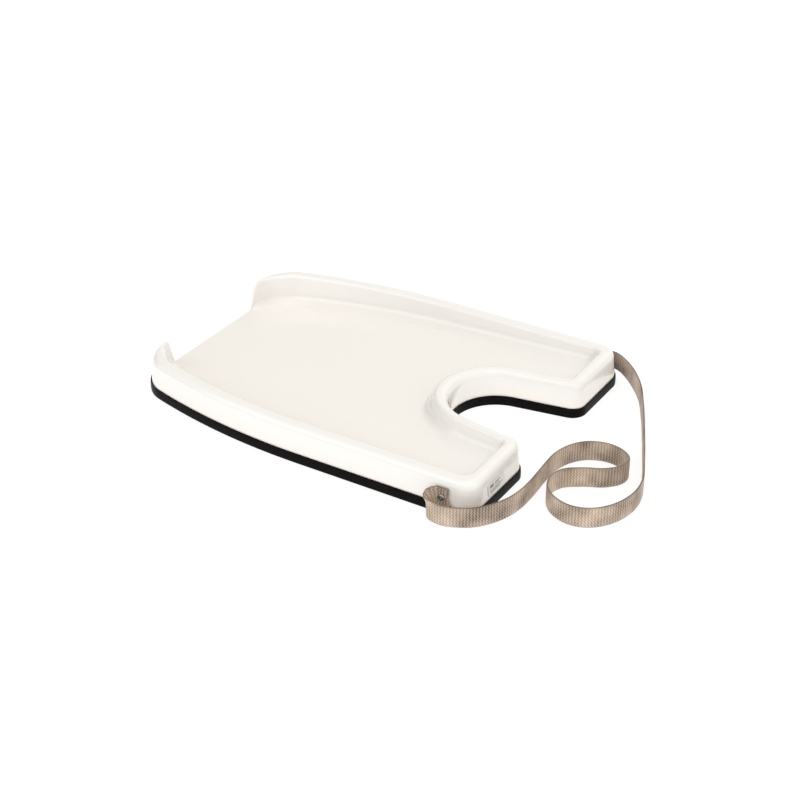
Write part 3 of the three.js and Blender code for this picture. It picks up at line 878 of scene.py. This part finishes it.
def principled(name, colour, roughness):
    material = bpy.data.materials.new(name)
    material.use_nodes = True
    tree = material.node_tree
    shader = tree.nodes["Principled BSDF"]
    shader.inputs["Base Color"].default_value = (*colour, 1)
    shader.inputs["Roughness"].default_value = roughness
    return material, tree, shader


def place_of(tree):
    return add_node(tree, "ShaderNodeTexCoord").outputs["Object"]


def noise(tree, per_metre, detail, vector=None):
    node = add_node(tree, "ShaderNodeTexNoise", Vector=vector or place_of(tree),
                    Scale=per_metre, Detail=detail)
    return node.outputs["Fac"]


def ranged(tree, value, low, high, start=0.0, end=1.0):
    """Turns a value between start and end into the range low to high."""
    node = add_node(tree, "ShaderNodeMapRange", Value=value)
    node.inputs["From Min"].default_value = start
    node.inputs["From Max"].default_value = end
    node.inputs["To Min"].default_value = low
    node.inputs["To Max"].default_value = high
    return node.outputs["Result"]


def blend_colours(tree, share, first, second):
    node = add_node(tree, "ShaderNodeMix", data_type="RGBA")
    tree.links.new(share, node.inputs[0])
    for socket, colour in ((node.inputs[6], first), (node.inputs[7], second)):
        if isinstance(colour, bpy.types.NodeSocket):
            tree.links.new(colour, socket)
        else:
            socket.default_value = (*colour, 1)
    return node.outputs[2]


def maths(tree, operation, first, second=0.0):
    return add_node(tree, "ShaderNodeMath", operation=operation, i0=first, i1=second).outputs[0]


def bump(tree, height, distance, strength, normal=None):
    node = add_node(tree, "ShaderNodeBump", Height=height, Distance=distance, Strength=strength)
    if normal is not None:
        tree.links.new(normal, node.inputs["Normal"])
    return node.outputs["Normal"]


# %% [markdown]
# ## Ivory plastic
#
# Formed sheet is very smooth and glossy, but never a mirror: the sheet keeps a faint ripple from
# the oven, a few millimetres wide, and the surface picks up hairline scuffs. Both are far too
# shallow to model, so they go in as bump and as small changes of roughness. The floor of the basin,
# where water stands, is painted a little creamier than the rim: painted bounce light from inside
# the basin.

# %% Ivory
IVORY_LIGHT, IVORY_DEEP = (0.965, 0.940, 0.902), (0.955, 0.925, 0.882)
# The creamier floor colour below is painted bounce light from inside the basin, not a second colour
# of the sheet.
IVORY_BOUNCE_TINT = (0.965, 0.915, 0.852)
BOUNCE_TINT_SHARE, TINT_START, TINT_END = 0.7, 0.5, 0.64    # its share, and heights as shares of the rim's


def ivory_plastic():
    material, tree, shader = principled("ivory_plastic", (0.93, 0.89, 0.83), 0.12)
    tone = noise(tree, 9, 2)
    colour = blend_colours(tree, tone, IVORY_LIGHT, IVORY_DEEP)
    height = add_node(tree, "ShaderNodeSeparateXYZ", Vector=place_of(tree)).outputs["Z"]
    # Painted bounce light: below about half the rim's height the colour turns creamier.
    painted_bounce = ranged(tree, height, BOUNCE_TINT_SHARE, 0, RIM_HEIGHT * TINT_START, RIM_HEIGHT * TINT_END)
    colour = blend_colours(tree, painted_bounce, colour, IVORY_BOUNCE_TINT)
    tree.links.new(colour, shader.inputs["Base Color"])
    scuffs = noise(tree, 260, 6)
    tree.links.new(ranged(tree, scuffs, 0.07, 0.17), shader.inputs["Roughness"])
    ripple = bump(tree, noise(tree, 38, 2), 0.25 * MM, 0.25)
    fine = bump(tree, noise(tree, 1500, 2), 0.01 * MM, 0.3, ripple)
    tree.links.new(fine, shader.inputs["Normal"])
    shader.inputs["IOR"].default_value = 1.49
    shader.inputs["Coat Weight"].default_value = 0.8
    shader.inputs["Coat Roughness"].default_value = 0.03
    return material


shell.data.materials.clear()
shell.data.materials.append(ivory_plastic())

# %% [markdown]
# ## Rubber
#
# Black rubber is dark grey, not black. It is dull, with a fine grain and a little dust.

# %% Rubber
def trim_rubber():
    material, tree, shader = principled("trim_rubber", (0.012, 0.010, 0.011), 0.4)
    shader.inputs["Specular IOR Level"].default_value = 0.05
    dust = noise(tree, 120, 5)
    colour = blend_colours(tree, dust, (0.0020, 0.0015, 0.0015), (0.0075, 0.0055, 0.0052))
    tree.links.new(colour, shader.inputs["Base Color"])
    tree.links.new(ranged(tree, noise(tree, 700, 3), 0.3, 0.5), shader.inputs["Roughness"])
    tree.links.new(bump(tree, noise(tree, 2200, 2), 0.03 * MM, 0.5), shader.inputs["Normal"])
    return material


trim.data.materials.append(trim_rubber())

# %% [markdown]
# ## Webbing
#
# Warp yarns run along the strap and pass over and under the weft, one step out from their
# neighbours. The product of two waves, one along and one across, gives that chequer. The weft lies
# in ribs straight across, with painted shade in the hollows between them and painted light on their
# crests. Yarns differ a little in shade, longer stretches are painted lighter or darker than the
# next, as painted light and shade where the strap turns to and from the light, and the turned edges
# are darker.

# %% Webbing
YARN_PITCH = 1.9 * MM
YARN_STREAKS = (120, 2200, 1)    # noise per metre, along and across
# The first share below paints shade into the rib hollows; the last paints slow patches of light and
# shade along the strap.
RIB_SHADE_SHARE, WEAVE_SHARE, YARN_SHARE, LIGHT_PATCH_SHARE = 0.20, 0.28, 0.24, 0.36
WEB_DARK, WEB_LIGHT, WEB_EDGE = (0.085, 0.056, 0.038), (0.840, 0.665, 0.515), (0.10, 0.075, 0.06)
EDGE_START, EDGE_SHARE = 0.9, 0.75


def strap_webbing():
    material, tree, shader = principled("strap_webbing", (0.5, 0.38, 0.27), 0.85)
    uv = add_node(tree, "ShaderNodeUVMap")
    uv.uv_map = "weave"
    parts = add_node(tree, "ShaderNodeSeparateXYZ", Vector=uv.outputs["UV"])
    turn = maths(tree, "MULTIPLY", parts.outputs[0], 2 * math.pi / RIB_PITCH)
    along = maths(tree, "SINE", turn)
    across = maths(tree, "SINE", maths(tree, "MULTIPLY", parts.outputs[1], math.pi / YARN_PITCH))
    weave = ranged(tree, maths(tree, "MULTIPLY", along, across), 0, 1, -1)
    scale = add_node(tree, "ShaderNodeVectorMath", operation="MULTIPLY", i0=uv.outputs["UV"])
    scale.inputs[1].default_value = YARN_STREAKS
    yarns = noise(tree, 1, 2, scale.outputs[0])
    fuzz = noise(tree, 3000, 3)
    # Painted shade and light: the colour is darker in the hollows between the ribs and lighter on
    # their crests. The same wave also drives the bump.
    rib_bump_and_shade = ranged(tree, maths(tree, "COSINE", turn), 0, 1, -1)
    # Painted light and shade: slow patches, some tens of millimetres across, make stretches of the
    # strap lighter or darker, for where it turns to and from the light.
    painted_light_patches = ranged(tree, noise(tree, 34, 2), 0, 1, 0.3, 0.7)
    shade = maths(tree, "MULTIPLY", rib_bump_and_shade, RIB_SHADE_SHARE)
    for part, share in ((weave, WEAVE_SHARE), (yarns, YARN_SHARE), (painted_light_patches, LIGHT_PATCH_SHARE)):
        shade = maths(tree, "ADD", shade, maths(tree, "MULTIPLY", part, share))
    shade = ranged(tree, shade, 0, 1, 0.2, 0.9)
    colour = blend_colours(tree, shade, WEB_DARK, WEB_LIGHT)
    edge = maths(tree, "DIVIDE", maths(tree, "ABSOLUTE", parts.outputs[1]), WEB_WIDTH / 2)
    edge = ranged(tree, edge, 0, EDGE_SHARE, EDGE_START)
    colour = blend_colours(tree, edge, colour, WEB_EDGE)
    tree.links.new(colour, shader.inputs["Base Color"])
    height = maths(tree, "ADD", maths(tree, "ADD", weave, rib_bump_and_shade), maths(tree, "MULTIPLY", fuzz, 0.3))
    tree.links.new(bump(tree, height, 0.25 * MM, 0.8), shader.inputs["Normal"])
    shader.inputs["Sheen Weight"].default_value = 0.15
    return material


strap.data.materials.append(strap_webbing())

# %% [markdown]
# ## Metal and label
#
# The rivets are plated steel: bright, with a soft grain. The washers behind are plainer zinc.

# %% Metal and label film
def plated_metal(name, colour, rough_low, rough_high):
    material, tree, shader = principled(name, colour, rough_low)
    shader.inputs["Metallic"].default_value = 1
    stains = noise(tree, 900, 4)
    darker = tuple(0.72 * c for c in colour)
    tree.links.new(blend_colours(tree, stains, darker, colour), shader.inputs["Base Color"])
    tree.links.new(ranged(tree, stains, rough_low, rough_high), shader.inputs["Roughness"])
    tree.links.new(bump(tree, noise(tree, 2500, 2), 0.02 * MM, 0.4), shader.inputs["Normal"])
    return material


def label_film():
    material, tree, shader = principled("label_film", (0.86, 0.85, 0.82), 0.35)
    uv = add_node(tree, "ShaderNodeUVMap")
    uv.uv_map = "print"
    parts = add_node(tree, "ShaderNodeSeparateXYZ", Vector=uv.outputs["UV"])
    x, y = parts.outputs[0], parts.outputs[1]
    ink = None
    bars = ((0.12, 0.34, 0.56, 0.84), (0.42, 0.74, 0.70, 0.80), (0.42, 0.66, 0.54, 0.62),
            (0.12, 0.86, 0.36, 0.42), (0.12, 0.80, 0.24, 0.30), (0.12, 0.70, 0.12, 0.18))
    for left, right, bottom, top in bars:
        inside = maths(tree, "MULTIPLY", maths(tree, "GREATER_THAN", x, left),
                       maths(tree, "LESS_THAN", x, right))
        inside = maths(tree, "MULTIPLY", inside, maths(tree, "GREATER_THAN", y, bottom))
        inside = maths(tree, "MULTIPLY", inside, maths(tree, "LESS_THAN", y, top))
        ink = inside if ink is None else maths(tree, "MAXIMUM", ink, inside)
    speckle = ranged(tree, noise(tree, 3500, 4), 0.6, 1.0)
    printed = maths(tree, "MULTIPLY", ink, speckle)
    colour = blend_colours(tree, printed, (0.86, 0.85, 0.82), (0.05, 0.05, 0.055))
    tree.links.new(colour, shader.inputs["Base Color"])
    tree.links.new(ranged(tree, noise(tree, 300, 4), 0.28, 0.45), shader.inputs["Roughness"])
    tree.links.new(bump(tree, noise(tree, 900, 3), 0.02 * MM, 0.3), shader.inputs["Normal"])
    return material


METALS = {
    "rivet_metal": plated_metal("plated_rivet", (0.40, 0.40, 0.41), 0.16, 0.30),
    "pin_metal": plated_metal("plated_pin", (0.70, 0.70, 0.70), 0.14, 0.28),
    "washer_metal": plated_metal("zinc_washer", (0.55, 0.56, 0.58), 0.3, 0.45),
}
for piece in metal_pieces:
    piece.data.materials.append(METALS[piece["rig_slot"]])
label.data.materials.append(label_film())
print("materials on", 4 + len(metal_pieces), "pieces")
